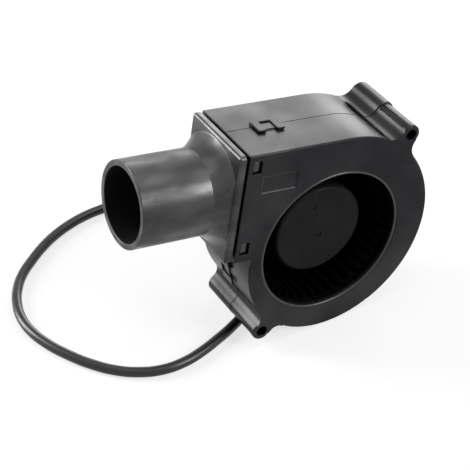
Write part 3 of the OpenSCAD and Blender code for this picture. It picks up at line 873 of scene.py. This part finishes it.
@dataclass
class Lamp:
    """One soft box, aimed at the middle of the object."""

    name: str
    place: Point
    width: float
    height: float
    power: float
    target: Point = (0.0, 0.0, 0.04)

    def build(self) -> None:
        """Puts the lamp in its place."""
        data = bpy.data.lights.new(self.name, "AREA")
        data.shape = "RECTANGLE"
        data.size = self.width
        data.size_y = self.height
        data.energy = self.power
        lamp = Bench.add(self.name, data)
        lamp.location = self.place
        aim = Vector(self.target) - Vector(self.place)
        lamp.rotation_euler = aim.to_track_quat("-Z", "Y").to_euler()


@dataclass
class Studio:
    """Camera, pale floor and soft light; the camera's place is in millimetres."""

    camera_place: Point = (-212.79, -348.45, 348.15)
    azimuth: float = -29.97
    elevation: float = 37.587
    roll: float = 0.085
    lens: float = 116.8
    sensor: float = 36.0
    clip_start: float = 0.01
    clip_end: float = 50.0
    floor_size: float = 6.0
    floor_colour: Colour = (0.28, 0.28, 0.28)
    floor_glow: float = 0.72
    floor_near: float = 0.25
    floor_far: float = 1.2
    floor_rough: float = 0.9
    white: float = 1.0
    haze: float = 0.06
    lamps: list[Lamp] = field(
        default_factory=lambda: [
            Lamp("back_right_box", (0.76, 0.85, 0.39), 0.55, 0.65, 5.2),
            Lamp("back_left_box", (-0.79, 0.78, 0.44), 0.4, 1.0, 19.3),
            Lamp("front_box", (0.61, -0.84, 0.64), 0.5, 0.45, 9.0),
            Lamp("over_box", (0.22, -0.09, 1.02), 0.6, 1.05, 5.0),
        ]
    )

    def build_camera(self) -> None:
        """Places the camera where the photograph was taken from."""
        a, e, r = (math.radians(x) for x in (self.azimuth, self.elevation, self.roll))
        back = Vector((math.sin(a) * math.cos(e), -math.cos(a) * math.cos(e), math.sin(e)))
        right = Vector((math.cos(a), math.sin(a), 0.0))
        up = back.cross(right)
        turned = right * math.cos(r) + up * math.sin(r)
        up = back.cross(turned)
        data = bpy.data.cameras.new("camera")
        data.lens = self.lens
        data.sensor_width = self.sensor
        data.clip_start = self.clip_start
        data.clip_end = self.clip_end
        camera = Bench.add("camera", data)
        place = Vector(self.camera_place) * MM
        camera.matrix_world = Matrix((
            (turned.x, up.x, back.x, place.x),
            (turned.y, up.y, back.y, place.y),
            (turned.z, up.z, back.z, place.z),
            (0.0, 0.0, 0.0, 1.0),
        ))
        bpy.context.scene.camera = camera

    def build_floor(self) -> None:
        """Lays the floor, which the camera sees as white, with the object's shadow near it."""
        Bench.deselect()
        bpy.ops.mesh.primitive_plane_add(size=self.floor_size)
        floor = bpy.context.active_object
        floor.name = "floor"
        shader = Shader(
            "pale_floor",
            {
                "Base Color": (*self.floor_colour, 1.0),
                "Roughness": self.floor_rough,
                "Specular IOR Level": 0.0,
            },
        )
        rays = "ShaderNodeLightPath"
        seen = shader.node(rays, {}, {}, "Is Camera Ray")
        seen = seen + shader.node(rays, {}, {}, "Is Glossy Ray")
        seen = seen + shader.node(rays, {}, {}, "Is Transmission Ray")
        far = shader.distance(shader.place()) * (1.0 / self.floor_size)
        span = (self.floor_near / self.floor_size, self.floor_far / self.floor_size)
        far = shader.ramp(far, span)
        glow = self.floor_glow + (self.white - self.floor_glow) * far
        shader.wire(shader.surface, {"Emission Color": seen * glow, "Emission Strength": 1.0})
        floor.data.materials.append(shader.material)

    def build_world(self) -> None:
        """Sets a faint even light all round, which the camera and reflections see as white."""
        world = bpy.data.worlds.new("studio")
        bpy.context.scene.world = world
        world.use_nodes = True
        tree = world.node_tree
        tree.nodes.clear()
        rays = tree.nodes.new("ShaderNodeLightPath")
        back = tree.nodes.new("ShaderNodeBackground")
        light = tree.nodes.new("ShaderNodeBackground")
        mix = tree.nodes.new("ShaderNodeMixShader")
        end = tree.nodes.new("ShaderNodeOutputWorld")
        for node, strength in ((light, self.haze), (back, self.white)):
            node.inputs["Color"].default_value = WHITE
            node.inputs["Strength"].default_value = strength
        seen = rays.outputs["Is Camera Ray"]
        for ray in ("Is Glossy Ray", "Is Transmission Ray"):
            total = tree.nodes.new("ShaderNodeMath")
            tree.links.new(seen, total.inputs[0])
            tree.links.new(rays.outputs[ray], total.inputs[1])
            seen = total.outputs[0]
        tree.links.new(seen, mix.inputs["Fac"])
        tree.links.new(light.outputs[0], mix.inputs[1])
        tree.links.new(back.outputs[0], mix.inputs[2])
        tree.links.new(mix.outputs[0], end.inputs["Surface"])

    def build(self) -> None:
        """Builds the stage round the object."""
        bpy.context.scene.view_settings.view_transform = "Standard"
        self.build_floor()
        self.build_world()
        for lamp in self.lamps:
            lamp.build()


class Finishes:
    """All finishes of the blower, one material each."""

    def __init__(self) -> None:
        """Makes the materials."""
        self.case = MouldedPlastic(
            "case_black", (0.0037, 0.004, 0.0056), (0.0072, 0.0079, 0.01), gloss=0.29, level=0.14,
            sheen=0.3, sheen_size=26 * MM, sheen_shift=(0.03, 0.0, 0.0),
        ).material()
        self.rim = MouldedPlastic(
            "rim_black", (0.004, 0.0042, 0.0056), (0.0072, 0.0079, 0.01), gloss=0.26, level=0.6
        ).material()
        self.nozzle = MouldedPlastic(
            "nozzle_black", (0.006, 0.006, 0.007), (0.011, 0.011, 0.013), gloss=0.26, level=0.38,
            gloss_range=0.3, sheen=0.65, sheen_size=7 * MM, sheen_stretch=(0.35, 1.0, 1.0),
        ).material()
        # The impeller's blades beyond 17.2 mm from the axle are painted near black: painted shade
        # for the dark inside of the inlet.
        self.wheel = MouldedPlastic(
            "wheel_black", (0.0012, 0.0012, 0.0016), (0.0195, 0.0195, 0.0215), gloss=0.32,
            level=0.04, dull_and_shade_from=17.2 * MM,
        ).material()
        self.grip = MouldedPlastic(
            "plug_black", (0.012, 0.012, 0.013), (0.022, 0.022, 0.024), gloss=0.5
        ).material()
        self.natural = MouldedPlastic(
            "natural_nylon", (0.66, 0.63, 0.54), (0.74, 0.71, 0.62), gloss=0.5
        ).material()
        self.board = MouldedPlastic(
            "solder_resist", (0.02, 0.11, 0.04), (0.03, 0.15, 0.06), gloss=0.2
        ).material()
        self.chip = MouldedPlastic(
            "chip_black", (0.012, 0.012, 0.012), (0.02, 0.02, 0.02), gloss=0.55
        ).material()
        self.tan = MouldedPlastic(
            "dipped_tan", (0.25, 0.18, 0.08), (0.33, 0.24, 0.11), gloss=0.3
        ).material()
        self.red = MouldedPlastic(
            "wire_red", (0.22, 0.012, 0.01), (0.32, 0.02, 0.016), gloss=0.35
        ).material()
        self.ferrite = MouldedPlastic(
            "ferrite", (0.03, 0.027, 0.026), (0.05, 0.045, 0.043), gloss=0.6
        ).material()
        self.sheath = SoftSheath(
            "lead_sheath", (0.010, 0.010, 0.011), (0.018, 0.018, 0.020)
        ).material()
        self.steel = Metal("drawn_steel", (0.56, 0.57, 0.58), (0.44, 0.45, 0.46)).material()
        self.polished = Metal(
            "bearing_steel", (0.68, 0.69, 0.71), (0.6, 0.61, 0.63), gloss=0.1
        ).material()
        self.blued = Metal(
            "blued_steel", (0.12, 0.125, 0.135), (0.08, 0.085, 0.09), gloss=0.35
        ).material()
        self.lamination = Metal(
            "lamination", (0.3, 0.305, 0.31), (0.2, 0.205, 0.21), gloss=0.42
        ).material()
        self.brass = Metal(
            "turned_brass", (0.63, 0.44, 0.15), (0.5, 0.33, 0.1), gloss=0.22
        ).material()
        self.nickel = Metal(
            "nickel_plate", (0.66, 0.65, 0.62), (0.58, 0.57, 0.54), gloss=0.12
        ).material()
        self.copper = WoundWire("enamelled_copper", (0.55, 0.2, 0.08), (0.2, 0.06, 0.02)).material()


class Blower:
    """The whole blower, one sub-assembly after the other."""

    WHEEL_EDGE = 0.08 * MM
    PLUG_EDGE = 0.15 * MM

    def __init__(self, finishes: Finishes) -> None:
        """Keeps the finishes.

        Args:
            finishes: All materials.
        """
        self.finishes = finishes

    def case(self) -> None:
        """Models the two case halves, the nozzle and the bead on the inlet's rim."""
        f = self.finishes
        finishes = {"front_cover": f.case, "rear_housing": f.case, "air_nozzle": f.nozzle}
        for node, finish in finishes.items():
            Shell(node, Body.HOUSING, "black_plastic", finish).build()
        InletBead(f.rim).build()

    def wheel(self) -> None:
        """Models the impeller."""
        finish = self.finishes.wheel
        Shell("impeller", Body.ROTOR, "impeller_plastic", finish, self.WHEEL_EDGE).build()

    def motor(self) -> None:
        """Dresses the solids of the motor and its board."""
        f = self.finishes
        dressed = {
            "rotor_yoke": f.steel, "magnet_ring": f.ferrite, "rotor_shaft": f.polished,
            "bearing_tube": f.brass, "bearing_outer_rings": f.polished,
            "bearing_inner_rings": f.polished, "bearing_balls": f.polished,
            "thrust_washer": f.brass, "retaining_clip": f.blued,
            "stator_core": f.lamination, "front_insulator": f.natural, "rear_insulator": f.natural,
            "stator_coils": f.copper, "circuit_board": f.board, "driver_chip": f.chip,
            "hall_sensor": f.chip, "board_capacitor": f.tan, "lead_wires": f.red,
        }
        for node, material in dressed.items():
            Bench.dress(node, material)

    def lead(self) -> None:
        """Models the gland and the plug, dresses the tie and lays the lead."""
        f = self.finishes
        for node in ("cord_gland", "plug_body"):
            Shell(node, Body.HOUSING, "plug_plastic", f.grip, self.PLUG_EDGE).build()
        Bench.dress("cord_tie", f.grip)
        Bench.dress("plug_barrel", f.nickel)
        Bench.dress("plug_insulator", f.chip)
        Lead(f.sheath).build()


def main() -> None:
    """Builds the studio and the blower."""
    logging.basicConfig(level=logging.INFO, format="%(name)s: %(message)s")
    studio = Studio()
    studio.build_camera()
    blower = Blower(Finishes())
    blower.lead()
    blower.case()
    blower.wheel()
    blower.motor()
    studio.build()


if __name__ == "__main__":
    main()
